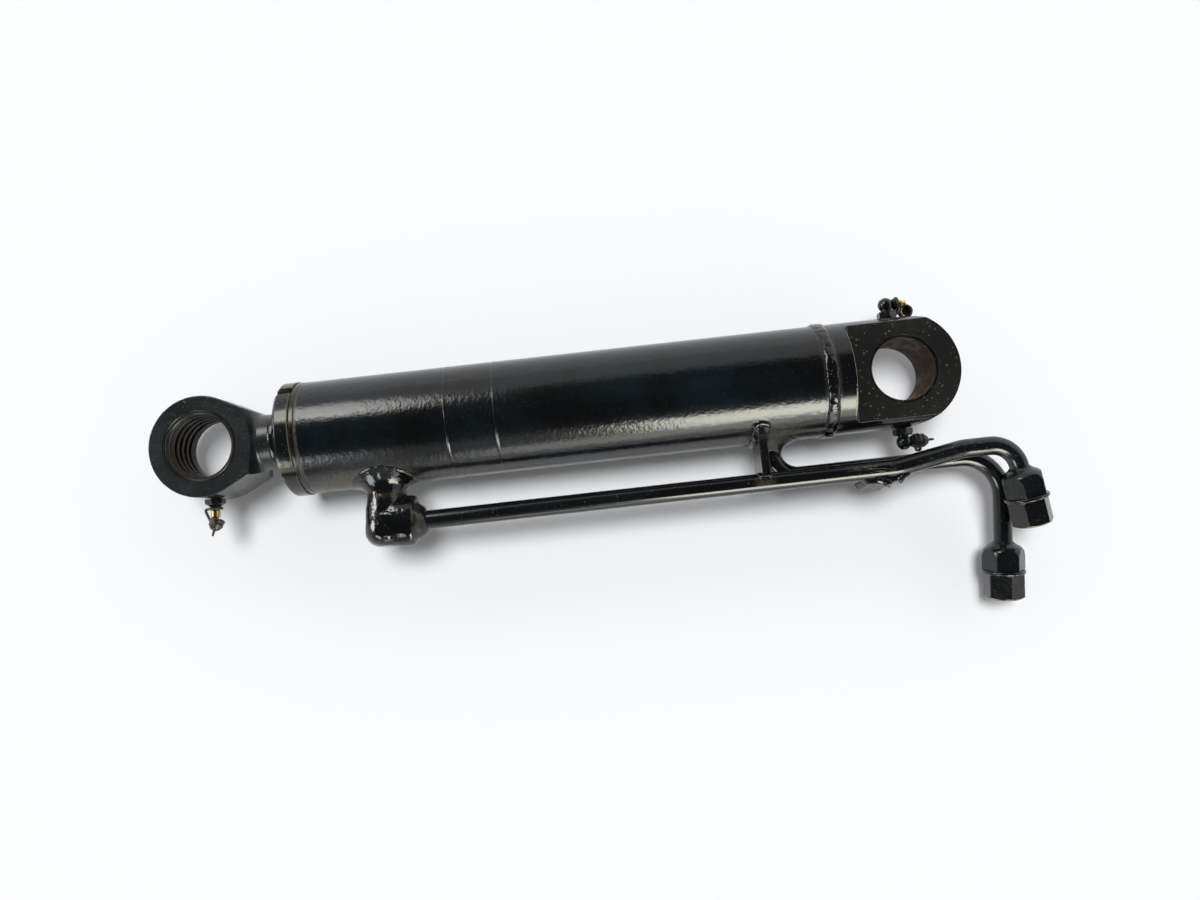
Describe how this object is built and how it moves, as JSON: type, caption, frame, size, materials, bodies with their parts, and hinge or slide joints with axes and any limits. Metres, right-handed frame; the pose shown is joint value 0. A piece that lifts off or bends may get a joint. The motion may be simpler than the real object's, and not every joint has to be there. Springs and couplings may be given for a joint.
{
  "type": "hydraulic cylinder",
  "caption": "Double-acting hydraulic cylinder with a sliding rod, a bushed eye at each end, two outside oil pipes with plugged ends, and grease nipples.",
  "frame": {"origin": "centre of the base lug's pin bore, midway between its two flat cheeks", "axes": "X along the tube, with the rod eye at -X; Z along both pin bores, towards the viewer in the picture; the pipes are at -Y"},
  "size_m": [0.8577, 0.3121, 0.114],
  "materials": {
    "black_paint": "gloss black paint with orange peel, dust and a few chips",
    "chrome": "hard chromed and polished",
    "machined_steel": "as turned",
    "bush_steel": "hardened steel, oiled and rusty",
    "black_iron": "phosphated",
    "brass": "bright",
    "bronze": "turned bronze",
    "rubber": "matt black-brown rubber",
    "seal_plastic": "blue-grey polyurethane",
    "wear_plastic": "brown filled resin"
  },
  "bodies": {
    "barrel": {"barrel_tube": "black_paint", "base_end": "black_paint", "base_weld_bead": "black_paint", "base_bush": "bush_steel", "gland": "black_paint", "gland_stop_ring": "machined_steel", "gland_wear_bush": "bronze", "gland_buffer_seal": "seal_plastic", "gland_rod_seal": "seal_plastic", "gland_wiper_seal": "rubber", "gland_backup_ring": "seal_plastic", "gland_o_ring": "rubber", "gland_port_elbow": "black_paint", "base_port_boss": "black_paint", "long_pipe": "black_paint", "short_pipe": "black_paint", "pipe_bracket": "black_paint", "pipe_tie_plate": "black_paint", "long_pipe_connector": "black_paint", "long_pipe_seal_ring": "black_paint", "long_pipe_plug": "black_paint", "short_pipe_connector": "black_paint", "short_pipe_seal_ring": "black_paint", "short_pipe_plug": "black_paint", "base_bottom_grease_elbow": "black_paint", "base_bottom_grease_nipple": "brass", "base_bottom_grease_cap": "rubber", "base_top_grease_elbow": "black_paint", "base_top_grease_nipple": "brass", "base_top_grease_cap": "rubber"},
    "piston_ring_carrier": {"piston_seal": "seal_plastic", "piston_wear_ring_front": "wear_plastic", "piston_wear_ring_back": "wear_plastic"},
    "rod": {"piston": "black_iron", "piston_o_ring": "rubber", "piston_nut": "machined_steel", "piston_lock_screw": "machined_steel", "piston_rod": "chrome", "rod_eye": "black_paint", "rod_eye_weld_bead": "black_paint", "rod_eye_bush": "bush_steel", "rod_eye_dust_seal_front": "rubber", "rod_eye_dust_seal_back": "rubber", "rod_eye_grease_adaptor": "black_paint", "rod_eye_grease_nipple": "brass", "rod_eye_grease_cap": "rubber"}
  },
  "joints": [
    {"name": "rod_slide", "type": "slide", "parent": "barrel", "child": "piston_ring_carrier", "axis": [-1, 0, 0], "range_m": [0, 0.3]},
    {"name": "rod_turn", "type": "hinge", "parent": "piston_ring_carrier", "child": "rod", "pos_m": [-0.4, 0, 0], "axis": [-1, 0, 0], "continuous": true}
  ]
}
